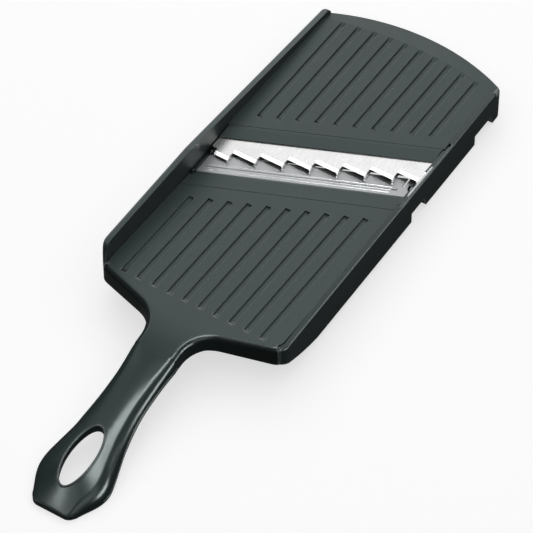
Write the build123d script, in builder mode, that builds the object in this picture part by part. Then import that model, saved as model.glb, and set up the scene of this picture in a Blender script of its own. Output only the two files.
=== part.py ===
from build123d import *
import os
from math import atan, cos, degrees, radians, sin, sqrt, tan

# The slicer lies along y with its handle towards -y. Until it is set down at the end, z is measured
# from the side rim, and y from the step in the middle of the blade.

# Beds: both fall slightly along y, and the blade runs slantwise between them
bed_width = 99.6
bed_thickness = 2.6
blade_skew = 23.9
groove_count = 10
groove_pitch = 8.8
groove_width = 3
groove_depth = 0.9
groove_ramp = 2.4
infeed_groove_near_y = -109.6
infeed_groove_far_y = -31.5
infeed_near_z = 0.9
infeed_fall = 2.9
outfeed_groove_near_y = 30
outfeed_blade_z = 0.5
outfeed_fall = 1.4

# Frame: side walls, guide wall on the left, skirts with notches for a bowl's rim, and far feet
side_wall = 3
skirt_depth = 19.4
skirt_curve_start_y = -80
skirt_curve_middle_y = -97
skirt_curve_middle_rise = 3.9
skirt_near_rise = 10
rim_round = 1.1
near_end_y = -112
near_corner_radius = 8
front_side_y = -110.6
far_end_y = 109.4
far_end_sagitta = 13.4
far_corner_radius = 6
lip_start_y = 98.2
lip_radius = 184
lip_fall = 12
far_margin_width = 20
far_margin_thickness = 6
guide_wall_height = 12.4
guide_wall_near_y = -109.5
guide_wall_near_lean = 2.5
guide_wall_near_round = 5
guide_wall_level_end_y = -34
guide_wall_far_y = 97.5
guide_wall_far_height = 0.6
guide_wall_far_round = 4.5
notch_depth = 6.2
notch_lean = 2.4
bowl_notch_near_y = 8.2
bowl_notch_far_y = 19.8
far_notch_near_y = 70.2
far_notch_far_y = 85.8
foot_width = 14
ledge_width = 2.4
ledge_thickness = 2.2

# Blade insert: it lies between the two beds and lifts out upwards
insert_near_y = -22.4
insert_far_y = 22
insert_depth = 12.5
insert_clearance = 0.3
cheek_width = 3.2
rail_thickness = 1.4
rail_overhang = 4
rail_drop = 0.6
seat_rib = 3
seat_reach = 4
seat_thickness = 2.4

# Steel of the insert
tooth_count = 8
tooth_overhang = 1.2
blade_thickness = 1
blade_drop = 1.4
blade_bevel_width = 1.9
blade_edge_thickness = 0.2
blade_front_y = 2.6
blade_rear_y = 12.3
blade_tuck = 4.6
blade_end_gap = 0.7
blade_notch_width = 3.2
blade_notch_depth = 3.6
comb_thickness = 0.7
comb_fin_height = 2.2
comb_front_y = 10.4
comb_fin_setback = 0.5
plate_thickness = 0.8
plate_front_y = -11.3
plate_tuck = 3
plate_length = 12
plate_tilt = 1.5
plate_end_gap = 1.6
plate_bead_width = 1.3
plate_bead_height = 0.45
plate_bead_setback = 3.4
plate_bead_end_gap = 6
plate_bead_taper = 30
plate_slit_width = 1
plate_slit_length = 6
plate_slit_inset = 5
nose_seat = 4
throat_far_y = 11
clamp_slope_drop = 0.8
stud_count = 5
stud_margin = 9.4
stud_diameter = 3
stud_clearance = 0.15
stud_head_diameter = 5.4
stud_head_height = 1.1
stud_pocket_depth = 1.6

# Infeed deck with its apron, neck and hollow handle
deck_seam = 0.2
knee_y = -123.8
neck_radius = 17
neck_half_width = 11.7
neck_bend_start_y = -116
neck_end_y = -141
apron_wall = 2.4
apron_front_depth = 11.4
apron_knee_depth = 7.8
neck_depth = 9.3
deck_rim_round = 3
handle_slope = 11.3
handle_half_width = 18.6
handle_crown = 22
handle_wall = 3
handle_step = 0.1
handle_end_y = -230
handle_tip_round = 5
handle_tip_flare = 12
handle_tip_length = 16
handle_curl_start_y = -200
handle_curl_drop = 6.4
handle_rim_z = -28.3
hang_hole_y = -203.4
hang_hole_length = 32.8
hang_hole_width = 14
hang_hole_collar = 1.8
hang_hole_depth = 4.6

# Handle sections from neck to tip: share of the way along, of the swell in half width, of the half
# width for the shoulder's radius, of the crown's angle, and of the drop of the lower edge
grip_shares = [
    (0, 0, 0.342, 0.02, 0),
    (0.17, -0.04, 0.48, 0.56, 0.085),
    (0.35, 0.03, 0.56, 0.88, 0.26),
    (0.53, 0.36, 0.56, 1, 0.55),
    (0.685, 0.82, 0.49, 1, 0.9),
    (0.79, 1, 0.43, 0.94, 1),
    (0.9, 0.5, 0.36, 0.62, 1),
    (1, -0.26, 0.2, 0.25, 1),
]

grip_station_count = 17

# One overrun for every cut
overrun = 30

# Sizes that follow from the ones above
bed_half = bed_width / 2
frame_half = bed_half + side_wall
insert_left_x = -bed_half + insert_clearance
insert_right_x = bed_half - insert_clearance
blade_left_x = -bed_half + blade_end_gap
blade_right_x = bed_half - blade_end_gap
tooth_pitch = (bed_width + tooth_overhang) / tooth_count
stud_pitch = (blade_right_x - blade_left_x - 2 * stud_margin) / (stud_count - 1)
skew = tan(radians(blade_skew))
infeed_rate = tan(radians(infeed_fall))
outfeed_rate = tan(radians(outfeed_fall))
handle_rate = tan(radians(handle_slope))
far_side_y = far_end_y - far_end_sagitta
front_rate = (front_side_y - knee_y) / (frame_half - neck_half_width)
front_turn = degrees(atan(front_rate))
corner_x = frame_half - near_corner_radius
corner_y = front_side_y + near_corner_radius * tan(radians((90 - front_turn) / 2))
corner_seam_y = corner_y - near_corner_radius * sin(radians(45))
apron_back_y = corner_y
lip_centre_y = lip_start_y - lip_radius
seat_z = -insert_depth - insert_clearance
bend_turn = handle_slope + infeed_fall
bend_radius = (neck_bend_start_y - neck_end_y) / (sin(radians(handle_slope)) + sin(radians(infeed_fall)))
table_rate = (-skirt_depth - handle_rim_z) / (far_notch_far_y - handle_end_y)


def infeed_top(y):
    """Height of the infeed bed's plane."""
    return infeed_near_z - (y - infeed_groove_near_y) * infeed_rate


def outfeed_top(y):
    """Height of the outfeed bed's plane."""
    return outfeed_blade_z - y * outfeed_rate


def seat_top(y):
    """Height of the level seat under the blade insert."""
    return seat_z


def table_top(y):
    """Height of the table under the slicer, which stands on the handle's end and the far feet."""
    return handle_rim_z + (y - handle_end_y) * table_rate


def neck_top(y):
    """Height of the bend from the infeed bed down to the handle."""
    centre_y = neck_bend_start_y - bend_radius * sin(radians(infeed_fall))
    centre_z = infeed_top(neck_bend_start_y) - bend_radius * cos(radians(infeed_fall))
    return centre_z + sqrt(bend_radius**2 - (y - centre_y) ** 2)


def deck_top(y):
    """Height of the deck's upper face from the blade to the neck."""
    return infeed_top(y) if y > neck_bend_start_y else neck_top(y)


def grip_top(y):
    """Height of the handle's ridge: straight from the neck, then curling down to the tip."""
    straight = neck_top(neck_end_y) - (neck_end_y - y) * handle_rate
    curl_share = max(0, (handle_curl_start_y - y) / (handle_curl_start_y - handle_end_y))
    return straight - handle_curl_drop * curl_share**2


def strip(near_y, far_y, left_x, right_x):
    """Corners, in plan, of a strip parallel to the blade."""
    return [
        (left_x, near_y + skew * left_x),
        (right_x, near_y + skew * right_x),
        (right_x, far_y + skew * right_x),
        (left_x, far_y + skew * left_x),
    ]


def rectangle(left_x, right_x, near_y, far_y):
    """Corners, in plan, of a rectangle along the feed."""
    return [(left_x, near_y), (right_x, near_y), (right_x, far_y), (left_x, far_y)]


def plank(corners, surface, drop, thickness=None, bottom_z=-insert_depth):
    """A block with the given outline in plan, from a lowered surface to a thickness or a level bottom."""
    near_y = min(y for x, y in corners)
    far_y = max(y for x, y in corners)
    near_top = surface(near_y) - drop
    far_top = surface(far_y) - drop
    near_bottom = near_top - thickness if thickness else bottom_z
    far_bottom = far_top - thickness if thickness else bottom_z
    with BuildPart() as block:
        with BuildSketch(Plane.YZ):
            Polygon((near_y, near_bottom), (far_y, far_bottom), (far_y, far_top), (near_y, near_top))
        extrude(amount=frame_half, both=True)
        with BuildSketch(Plane.XY.offset(-skirt_depth)):
            Polygon(*corners)
        extrude(amount=skirt_depth + guide_wall_height, mode=Mode.INTERSECT)
    return block.part


def slant_plane(surface, rate, y, drop, tilt):
    """A plane through a line parallel to the blade on a bed, turned about that line by tilt degrees."""
    along = Vector(1, skew, -rate * skew).normalized()
    across = Vector(-sin(radians(blade_skew)), cos(radians(blade_skew)), 0)
    rise = across * cos(radians(tilt)) + Vector(0, 0, 1) * sin(radians(tilt))
    return Plane(origin=(0, y, surface(y) - drop), x_dir=along, z_dir=along.cross(rise))


def groove_places():
    """Middle x of each groove."""
    return [(index - (groove_count - 1) / 2) * groove_pitch for index in range(groove_count)]


def groove_prism(x, near_y, far_y, surface, far_ramp):
    """A groove along the feed, to be cut from a bed; its floor ramps up to the bed at its ends."""
    deep_near_y = near_y + groove_ramp
    deep_far_y = far_y - far_ramp
    with BuildPart() as prism:
        with BuildSketch(Plane.YZ.offset(x - groove_width / 2)):
            Polygon(
                (near_y, surface(near_y)),
                (deep_near_y, surface(deep_near_y) - groove_depth),
                (deep_far_y, surface(deep_far_y) - groove_depth),
                (far_y, surface(far_y)),
                (far_y, surface(far_y) + groove_depth),
                (near_y, surface(near_y) + groove_depth),
            )
        extrude(amount=groove_width)
    return prism.part


def tooth_places():
    """Left and right x of each tooth, and the y of its cutting edge."""
    places = []
    for index in range(tooth_count):
        left_x = (index - tooth_count / 2) * tooth_pitch
        places.append((left_x, left_x + tooth_pitch, blade_front_y + left_x * skew))
    return places


def stud_places():
    """Centres, in plan, of the studs that hold the blade."""
    stud_y = (throat_far_y + insert_far_y) / 2
    xs = [(index - (stud_count - 1) / 2) * stud_pitch for index in range(stud_count)]
    return [(x, stud_y + skew * x) for x in xs]


# Outline of the frame in plan
with BuildSketch(Plane.XY.offset(-skirt_depth)) as frame_outline:
    with BuildLine():
        Polyline(
            (-frame_half, far_side_y),
            (-frame_half, front_side_y),
            (0, front_side_y - front_rate * frame_half),
            (frame_half, front_side_y),
            (frame_half, far_side_y),
        )
        ThreePointArc((frame_half, far_side_y), (0, far_end_y), (-frame_half, far_side_y))
    make_face()
    fillet(frame_outline.vertices().group_by(Axis.Y)[1], radius=near_corner_radius)
    fillet(frame_outline.vertices().group_by(Axis.Y)[-1], radius=far_corner_radius)

# Ring of walls in plan, open at the front between the middles of the two near corners
with BuildSketch(Plane.XY.offset(-skirt_depth)) as wall_ring:
    add(frame_outline.face())
    offset(frame_outline.face(), amount=-side_wall, mode=Mode.SUBTRACT)
    Polygon(
        (-corner_x, corner_y),
        (corner_x, corner_y),
        (corner_x + overrun, corner_y - overrun),
        (-corner_x - overrun, corner_y - overrun),
        mode=Mode.SUBTRACT,
    )

# Outfeed bed, as a sloping plate with a thicker far margin
with BuildPart() as outfeed_bed:
    bed_near_y = insert_far_y - skew * frame_half
    margin_y = far_end_y - far_margin_width
    with BuildSketch(Plane.YZ):
        Polygon(
            (bed_near_y, outfeed_top(bed_near_y)),
            (bed_near_y, outfeed_top(bed_near_y) - bed_thickness),
            (margin_y, outfeed_top(margin_y) - bed_thickness),
            (margin_y + far_margin_thickness, outfeed_top(margin_y) - far_margin_thickness),
            (far_end_y, outfeed_top(far_end_y) - far_margin_thickness),
            (far_end_y, outfeed_top(far_end_y)),
        )
    extrude(amount=frame_half, both=True)
    with BuildSketch(Plane.XY.offset(-skirt_depth)):
        add(frame_outline.face())
        offset(amount=-side_wall / 2, mode=Mode.REPLACE)
        Polygon(*strip(insert_far_y, far_end_y + overrun, -frame_half, frame_half), mode=Mode.INTERSECT)
    extrude(amount=skirt_depth + guide_wall_height, mode=Mode.INTERSECT)

# Guide wall on the left, with a leaning rounded near end and a top that falls along the outfeed bed
with BuildPart() as guide_wall:
    with BuildSketch(Plane.YZ.offset(-frame_half)) as guide_profile:
        Polygon(
            (guide_wall_near_y, -guide_wall_far_round),
            (guide_wall_near_y, 0),
            (guide_wall_near_y + guide_wall_near_lean, guide_wall_height),
            (guide_wall_level_end_y, guide_wall_height),
            (guide_wall_far_y, guide_wall_far_height),
            (guide_wall_far_y, -guide_wall_far_round),
        )
        near_tip = (guide_wall_near_y, guide_wall_height, 0)
        near_corner = guide_profile.vertices().sort_by_distance(near_tip)[0]
        fillet(near_corner, radius=guide_wall_near_round)
        far_tip = (guide_wall_far_y, guide_wall_far_height, 0)
        far_corner = guide_profile.vertices().sort_by_distance(far_tip)[0]
        fillet(far_corner, radius=guide_wall_far_round)
    extrude(amount=side_wall)
    with BuildSketch(Plane.XY.offset(-skirt_depth)):
        add(frame_outline.face())
    extrude(amount=skirt_depth + overrun, mode=Mode.INTERSECT)

# Ledges for the infeed deck along both walls, and the rib and seat under the far edge of the insert
frame_planks = []
for side in (-1, 1):
    ledge_far_y = insert_near_y + side * skew * bed_half - seat_rib
    ledge_xs = sorted((side * (bed_half + side_wall / 2), side * (bed_half - ledge_width)))
    ledge = rectangle(*ledge_xs, corner_y, ledge_far_y)
    frame_planks.append(plank(ledge, infeed_top, bed_thickness, ledge_thickness))
far_rib = strip(insert_far_y, insert_far_y + seat_rib, -bed_half, bed_half)
frame_planks.append(plank(far_rib, outfeed_top, bed_thickness / 2, bottom_z=seat_z - seat_thickness))
far_seat = strip(insert_far_y - seat_reach, insert_far_y + seat_rib, -bed_half, bed_half)
frame_planks.append(plank(far_seat, seat_top, 0, seat_thickness))

# Grooves of the outfeed bed run along the feed and end where the lip begins
outfeed_grooves = []
for x in groove_places():
    groove_far_y = lip_centre_y + sqrt(lip_radius**2 - x**2)
    groove_near_y = outfeed_groove_near_y + skew * x
    outfeed_grooves.append(groove_prism(x, groove_near_y, groove_far_y, outfeed_top, groove_ramp))

# Frame: ring of walls, beds, seats and notches in one moulding
with BuildPart() as frame:
    with BuildSketch(Plane.XY.offset(-skirt_depth)):
        add(frame_outline.face())
    extrude(amount=skirt_depth)
    fillet(frame.edges().group_by(Axis.Z)[-1], radius=rim_round)
    with BuildSketch(Plane.XY.offset(-skirt_depth)):
        add(wall_ring.face())
    extrude(amount=skirt_depth, mode=Mode.INTERSECT)
    # The skirts' lower edges curve up towards the near corners
    with BuildSketch(Plane.YZ):
        with BuildLine():
            curve = ThreePointArc(
                (skirt_curve_start_y, -skirt_depth),
                (skirt_curve_middle_y, -skirt_depth + skirt_curve_middle_rise),
                (near_end_y, -skirt_depth + skirt_near_rise),
            )
            Polyline(curve @ 1, (near_end_y, -skirt_depth), curve @ 0)
        make_face()
    extrude(amount=frame_half, both=True, mode=Mode.SUBTRACT)
    # Notches for a bowl's rim, and feet cut level with the table
    with BuildSketch(Plane.YZ):
        for near_y, far_y in ((bowl_notch_near_y, bowl_notch_far_y), (far_notch_near_y, far_notch_far_y)):
            Polygon(
                (near_y, -skirt_depth - overrun),
                (near_y, -skirt_depth + notch_depth),
                (far_y, -skirt_depth + notch_depth),
                (far_y + notch_lean, -skirt_depth),
                (far_y + notch_lean, -skirt_depth - overrun),
            )
        Polygon(
            (far_notch_far_y, table_top(far_notch_far_y)),
            (far_end_y, table_top(far_end_y)),
            (far_end_y, -skirt_depth - overrun),
            (far_notch_far_y, -skirt_depth - overrun),
        )
    extrude(amount=frame_half, both=True, mode=Mode.SUBTRACT)
    with BuildSketch(Plane.XY.offset(-skirt_depth)):
        foot_x = frame_half - foot_width
        Polygon(*rectangle(-foot_x, foot_x, far_side_y, far_end_y))
    extrude(amount=notch_depth, mode=Mode.SUBTRACT)
    add(outfeed_bed.part)
    # The far lip falls away on a cone about an upright axis
    with BuildSketch(Plane.YZ):
        lip_end_y = far_end_y + overrun
        Polygon(
            (lip_start_y, outfeed_top(lip_start_y)),
            (lip_end_y, outfeed_top(lip_start_y) - (lip_end_y - lip_start_y) * tan(radians(lip_fall))),
            (lip_end_y, overrun),
            (lip_start_y, overrun),
        )
    revolve(axis=Axis((0, lip_centre_y, 0), (0, 0, 1)), revolution_arc=360, mode=Mode.SUBTRACT)
    add(guide_wall.part)
    add(frame_planks)
    # Recess in the right wall for the rail of the insert
    with BuildSketch(Plane.XY.offset(seat_z)):
        recess_right_x = bed_half + rail_thickness + insert_clearance
        recess_near_y = insert_near_y + skew * bed_half
        recess_far_y = insert_far_y + skew * bed_half + rail_overhang + insert_clearance
        Polygon(*rectangle(bed_half, recess_right_x, recess_near_y, recess_far_y))
    extrude(amount=insert_depth + overrun, mode=Mode.SUBTRACT)
    add(outfeed_grooves, mode=Mode.SUBTRACT)

# Outline in plan of the front half, with the near corners, the apron and the neck
with BuildSketch(Plane.XY.offset(-skirt_depth)) as front_outline:
    Polygon(
        (-frame_half, insert_near_y - skew * frame_half),
        (-frame_half, front_side_y),
        (-neck_half_width, knee_y),
        (-neck_half_width, neck_end_y),
        (neck_half_width, neck_end_y),
        (neck_half_width, knee_y),
        (frame_half, front_side_y),
        (frame_half, insert_near_y + skew * frame_half),
    )
    knees = front_outline.vertices().group_by(Axis.Y)[1]
    fillet(knees, radius=neck_radius)
    for side in (-1, 1):
        front_corner = front_outline.vertices().sort_by_distance((side * frame_half, front_side_y, 0))[0]
        fillet(front_corner, radius=near_corner_radius)

# Outline of the infeed deck, between the walls and out to the middles of the near corners
with BuildSketch(Plane.XY.offset(-skirt_depth)) as deck_outline:
    add(front_outline.face())
    offset(wall_ring.face(), amount=deck_seam, kind=Kind.INTERSECTION, mode=Mode.SUBTRACT)

# Infeed deck: bed plate with rolled front rim, apron and neck
with BuildPart() as deck_block:
    deck_far_y = insert_near_y + skew * bed_half
    with BuildSketch(Plane.YZ):
        with BuildLine():
            Line((deck_far_y, infeed_top(deck_far_y)), (neck_bend_start_y, infeed_top(neck_bend_start_y)))
            neck_bend = JernArc(
                start=(neck_bend_start_y, infeed_top(neck_bend_start_y)),
                tangent=(-1, infeed_rate),
                radius=bend_radius,
                arc_size=bend_turn,
            )
            Polyline(
                neck_bend @ 1,
                (neck_end_y, neck_top(neck_end_y) - neck_depth),
                (knee_y, -apron_knee_depth),
                (apron_back_y, -apron_front_depth),
                (apron_back_y, infeed_top(apron_back_y) - bed_thickness),
                (deck_far_y, infeed_top(deck_far_y) - bed_thickness),
                (deck_far_y, infeed_top(deck_far_y)),
            )
        make_face()
    extrude(amount=frame_half, both=True)
    with BuildSketch(Plane.XY.offset(-skirt_depth)):
        add(deck_outline.face())
    extrude(amount=skirt_depth + guide_wall_height, mode=Mode.INTERSECT)
    # The rolled rim runs along the apron and round the neck
    rim_edges = deck_block.edges().filter_by(
        lambda edge: abs((edge @ 0.5).Z - deck_top((edge @ 0.5).Y)) < groove_depth
        and abs((edge @ 0.5).X) > neck_half_width / 2
        and (edge @ 0.5).Y < corner_seam_y
    )
    fillet(rim_edges, radius=deck_rim_round)

# Space under the neck and behind the apron
with BuildPart() as deck_hollow:
    with BuildSketch(Plane.YZ):
        with BuildLine():
            hollow_bend = JernArc(
                start=(neck_bend_start_y, infeed_top(neck_bend_start_y) - bed_thickness),
                tangent=(-1, infeed_rate),
                radius=bend_radius,
                arc_size=bend_turn,
            )
            Polyline(
                hollow_bend @ 1,
                (neck_end_y, -skirt_depth),
                (apron_back_y, -skirt_depth),
                (apron_back_y, infeed_top(apron_back_y) - bed_thickness),
                hollow_bend @ 0,
            )
        make_face()
    extrude(amount=frame_half, both=True)
    with BuildSketch(Plane.XY.offset(-skirt_depth)):
        add(front_outline.face())
        offset(amount=-apron_wall, kind=Kind.INTERSECTION, mode=Mode.REPLACE)
        neck_hollow_x = neck_half_width - apron_wall
        Polygon(*rectangle(-neck_hollow_x, neck_hollow_x, neck_end_y - overrun, knee_y))
    extrude(amount=skirt_depth + guide_wall_height, mode=Mode.INTERSECT)


def grip_shape(along_share):
    """Shares of the handle's section at a share of the way along, read smoothly between the table's rows."""
    last = len(grip_shares) - 1
    index = max(i for i in range(last) if grip_shares[i][0] <= along_share)
    before = grip_shares[max(index - 1, 0)]
    start = grip_shares[index]
    end = grip_shares[index + 1]
    after = grip_shares[min(index + 2, last)]
    step = end[0] - start[0]
    t = (along_share - start[0]) / step
    shape = []
    for column in range(1, len(start)):
        start_slope = (end[column] - before[column]) / (end[0] - before[0]) if index > 0 else 0
        end_slope = (after[column] - start[column]) / (after[0] - start[0])
        rise = end[column] - start[column]
        bend = 3 * rise - step * (2 * start_slope + end_slope)
        twist = step * (start_slope + end_slope) - 2 * rise
        shape.append(start[column] + step * start_slope * t + bend * t**2 + twist * t**3)
    return shape


def grip_section(along_share, inset):
    """Arched section of the handle, inset from its outer faces; the lower edge is let down by the inset.

    The outer faces stand a hair proud of the neck, where the handle begins.
    """
    swell_share, shoulder_share, crown_share, drop_share = grip_shape(along_share)
    y = neck_end_y + along_share * (handle_end_y - neck_end_y) + (inset if along_share == 1 else 0)
    half = neck_half_width + swell_share * (handle_half_width - neck_half_width)
    shoulder = half * shoulder_share - inset / 2
    half = half + handle_step - inset
    crown = radians(handle_crown * crown_share)
    top = grip_top(y) + handle_step - inset
    lower = neck_top(neck_end_y) - neck_depth
    bottom = lower + drop_share * (handle_rim_z + handle_step - lower) - handle_step - inset
    crown_x = half - shoulder + shoulder * sin(crown)
    crown_z = top - crown_x / sin(crown) * (1 - cos(crown))
    shoulder_z = crown_z - shoulder * cos(crown)
    middle = (radians(90) - crown) / 2
    middle_x = half - shoulder + shoulder * cos(middle)
    middle_z = shoulder_z + shoulder * sin(middle)
    with BuildSketch(Plane.XZ.offset(-y)) as section:
        with BuildLine():
            Polyline((-half, shoulder_z), (-half, bottom), (half, bottom), (half, shoulder_z))
            ThreePointArc((half, shoulder_z), (middle_x, middle_z), (crown_x, crown_z))
            ThreePointArc((crown_x, crown_z), (0, top), (-crown_x, crown_z))
            ThreePointArc((-crown_x, crown_z), (-middle_x, middle_z), (-half, shoulder_z))
        make_face()
    return section.sketch


grip_stations = [index / (grip_station_count - 1) for index in range(grip_station_count)]

grip_faces = [grip_section(along_share, 0).face() for along_share in grip_stations]
with BuildPart() as grip:
    loft(grip_faces)
    # The corners of the tip are rounded in plan
    with BuildSketch(Plane.XY.offset(handle_rim_z - overrun)) as tip_outline:
        tip_half = neck_half_width + grip_shares[-1][1] * (handle_half_width - neck_half_width)
        flare_x = tip_half + handle_tip_flare
        flare_y = handle_end_y + handle_tip_length
        Polygon(
            (-tip_half, handle_end_y),
            (tip_half, handle_end_y),
            (flare_x, flare_y),
            (flare_x, neck_end_y + overrun),
            (-flare_x, neck_end_y + overrun),
            (-flare_x, flare_y),
        )
        fillet(tip_outline.vertices().group_by(Axis.Y)[0], radius=handle_tip_round)
    extrude(amount=2 * overrun - handle_rim_z, mode=Mode.INTERSECT)

hollow_faces = [grip_section(along_share, handle_wall).face() for along_share in grip_stations]
with BuildPart() as grip_hollow:
    loft(hollow_faces)

# Collar of the hang hole, following the handle's top
with BuildPart() as hole_collar:
    with BuildSketch(Plane.XY.offset(handle_rim_z)):
        with Locations((0, hang_hole_y)):
            Ellipse(hang_hole_width / 2 + hang_hole_collar, hang_hole_length / 2 + hang_hole_collar)
    extrude(amount=-handle_rim_z)
    add(grip.part, mode=Mode.INTERSECT)
    add(grip.part.moved(Location((0, 0, -hang_hole_depth))), mode=Mode.SUBTRACT)

# Rib and seat under the near edge of the insert
seat_x = bed_half - ledge_width - deck_seam
near_rib = strip(insert_near_y - seat_rib, insert_near_y, -seat_x, seat_x)
near_seat = strip(insert_near_y - seat_rib, insert_near_y + seat_reach, -seat_x, seat_x)
deck_planks = [
    plank(near_rib, infeed_top, bed_thickness / 2, bottom_z=seat_z - seat_thickness),
    plank(near_seat, seat_top, 0, seat_thickness),
]

# Grooves of the infeed bed end in an upright wall towards the blade
infeed_grooves = []
for x in groove_places():
    groove_far_y = infeed_groove_far_y + skew * x
    infeed_grooves.append(groove_prism(x, infeed_groove_near_y, groove_far_y, infeed_top, 0))

# Handle deck: the deck and the hollow handle in one moulding
with BuildPart() as handle_deck:
    add(deck_block.part)
    add(deck_hollow.part, mode=Mode.SUBTRACT)
    add(grip.part)
    add(grip_hollow.part, mode=Mode.SUBTRACT)
    # Hang hole through a collar as deep as the hole's rim
    add(hole_collar.part)
    with BuildSketch(Plane.XY.offset(handle_rim_z)):
        with Locations((0, hang_hole_y)):
            Ellipse(hang_hole_width / 2, hang_hole_length / 2)
    extrude(amount=-handle_rim_z, mode=Mode.SUBTRACT)
    # The handle's lower edge is level with the table where it rests
    with BuildSketch(Plane.YZ):
        Polygon(
            (handle_end_y - overrun, table_top(handle_end_y - overrun)),
            (neck_end_y, table_top(neck_end_y)),
            (neck_end_y, handle_rim_z - overrun),
            (handle_end_y - overrun, handle_rim_z - overrun),
        )
    extrude(amount=frame_half, both=True, mode=Mode.SUBTRACT)
    add(deck_planks)
    add(infeed_grooves, mode=Mode.SUBTRACT)

# Plane of the guide plate's underside, which starts from the infeed bed and runs under the blade's edges
plate_left_x = insert_left_x + plate_end_gap
plate_right_x = insert_right_x - plate_end_gap
plate_plane = slant_plane(infeed_top, infeed_rate, plate_front_y, plate_thickness, plate_tilt)


def plate_corners(left_x, right_x, near_y, far_y):
    """Corners, on the guide plate's plane, of a strip whose ends run along the feed."""
    corners = []
    for x, y in ((left_x, near_y), (right_x, near_y), (right_x, far_y), (left_x, far_y)):
        corners.append((x / cos(radians(blade_skew)) + y * skew * cos(radians(plate_tilt)), y))
    return corners


# Insert carrier: nose bar, rear bar, cheeks and right rail round the open throat
carrier_near_y = insert_near_y + insert_clearance
carrier_far_y = insert_far_y - insert_clearance
rail_near_y = carrier_near_y + skew * bed_half
rail_far_y = carrier_far_y + skew * (insert_right_x - insert_clearance)
rail_right_x = bed_half + rail_thickness
nose = strip(carrier_near_y, plate_front_y + nose_seat, insert_left_x, insert_right_x)
rear = strip(throat_far_y, carrier_far_y, insert_left_x, insert_right_x)
left_cheek = strip(carrier_near_y, carrier_far_y, insert_left_x, insert_left_x + cheek_width)
right_cheek = strip(carrier_near_y, carrier_far_y, insert_right_x - cheek_width, insert_right_x)
rail = rectangle(insert_right_x - insert_clearance, rail_right_x, rail_near_y, rail_far_y)
tongue = rectangle(bed_half + insert_clearance, rail_right_x, rail_near_y, rail_far_y + rail_overhang)
carrier_planks = [
    plank(nose, infeed_top, 0),
    plank(rear, outfeed_top, blade_drop + blade_thickness + comb_thickness),
    plank(left_cheek, infeed_top, 0),
    plank(right_cheek, infeed_top, 0),
    plank(rail, outfeed_top, rail_drop),
    plank(tongue, outfeed_top, rail_drop),
]
with BuildPart() as insert_carrier:
    add(carrier_planks)
    # The guide plate lies in a slot at the nose and is clear above
    with BuildSketch(plate_plane):
        Polygon(*plate_corners(insert_left_x, insert_right_x, 0, plate_length))
    extrude(amount=overrun, mode=Mode.SUBTRACT)
    with BuildSketch(plate_plane):
        slot_left_x = plate_left_x - stud_clearance
        slot_right_x = plate_right_x + stud_clearance
        Polygon(*plate_corners(slot_left_x, slot_right_x, -plate_tuck, 0))
    extrude(amount=plate_thickness, mode=Mode.SUBTRACT)
    # Holes for the studs, with pockets for their heads below
    with BuildSketch(Plane.XY.offset(-insert_depth)):
        with Locations(*stud_places()):
            Circle(stud_diameter / 2 + stud_clearance)
    extrude(amount=insert_depth, mode=Mode.SUBTRACT)
    with BuildSketch(Plane.XY.offset(-insert_depth)):
        with Locations(*stud_places()):
            Circle(stud_head_diameter / 2 + stud_clearance)
    extrude(amount=stud_pocket_depth, mode=Mode.SUBTRACT)

# Guide plate: steel plate in front of the blade, with a long bead and a slit near its right end
with BuildPart() as guide_plate:
    with BuildSketch(plate_plane):
        Polygon(*plate_corners(plate_left_x, plate_right_x, -plate_tuck, plate_length))
        slit_x = plate_right_x - plate_slit_inset
        slit_near_y = plate_length - plate_slit_length
        slit = plate_corners(slit_x, slit_x + plate_slit_width, slit_near_y, plate_length)
        Polygon(*slit, mode=Mode.SUBTRACT)
    extrude(amount=plate_thickness)
    with BuildSketch(plate_plane.offset(plate_thickness)):
        bead_left_x = plate_left_x + plate_end_gap
        bead_right_x = plate_right_x - plate_bead_end_gap
        bead_far_y = plate_bead_setback + plate_bead_width
        Polygon(*plate_corners(bead_left_x, bead_right_x, plate_bead_setback, bead_far_y))
    extrude(amount=plate_bead_height, taper=plate_bead_taper)

# Stick blade: steps of equal width with their edges square to the feed, bevelled from above
blade_outline = [
    (blade_right_x, blade_rear_y + blade_tuck + skew * blade_right_x),
    (blade_left_x, blade_rear_y + blade_tuck + skew * blade_left_x),
]
for left_x, right_x, edge_y in tooth_places():
    if left_x < blade_left_x:
        blade_outline.append((blade_left_x, edge_y + blade_notch_depth))
        blade_outline.append((blade_left_x + blade_notch_width, edge_y + blade_notch_depth))
        blade_outline.append((blade_left_x + blade_notch_width, edge_y))
    else:
        blade_outline.append((left_x, edge_y))
    blade_outline.append((min(right_x, blade_right_x), edge_y))
blade_plank = plank(blade_outline, outfeed_top, blade_drop, blade_thickness)
with BuildPart() as stick_blade:
    add(blade_plank)
    for left_x, right_x, edge_y in tooth_places():
        edge_top = outfeed_top(edge_y) - blade_drop
        bevel_y = edge_y + blade_bevel_width
        with BuildSketch(Plane.YZ.offset(left_x)):
            Polygon(
                (edge_y, edge_top - blade_thickness + blade_edge_thickness),
                (bevel_y, outfeed_top(bevel_y) - blade_drop),
                (bevel_y, overrun),
                (edge_y, overrun),
            )
        extrude(amount=tooth_pitch, mode=Mode.SUBTRACT)
    with BuildSketch(Plane.XY.offset(-insert_depth)):
        with Locations(*stud_places()):
            Circle(stud_diameter / 2 + stud_clearance)
    extrude(amount=insert_depth, mode=Mode.SUBTRACT)

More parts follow.
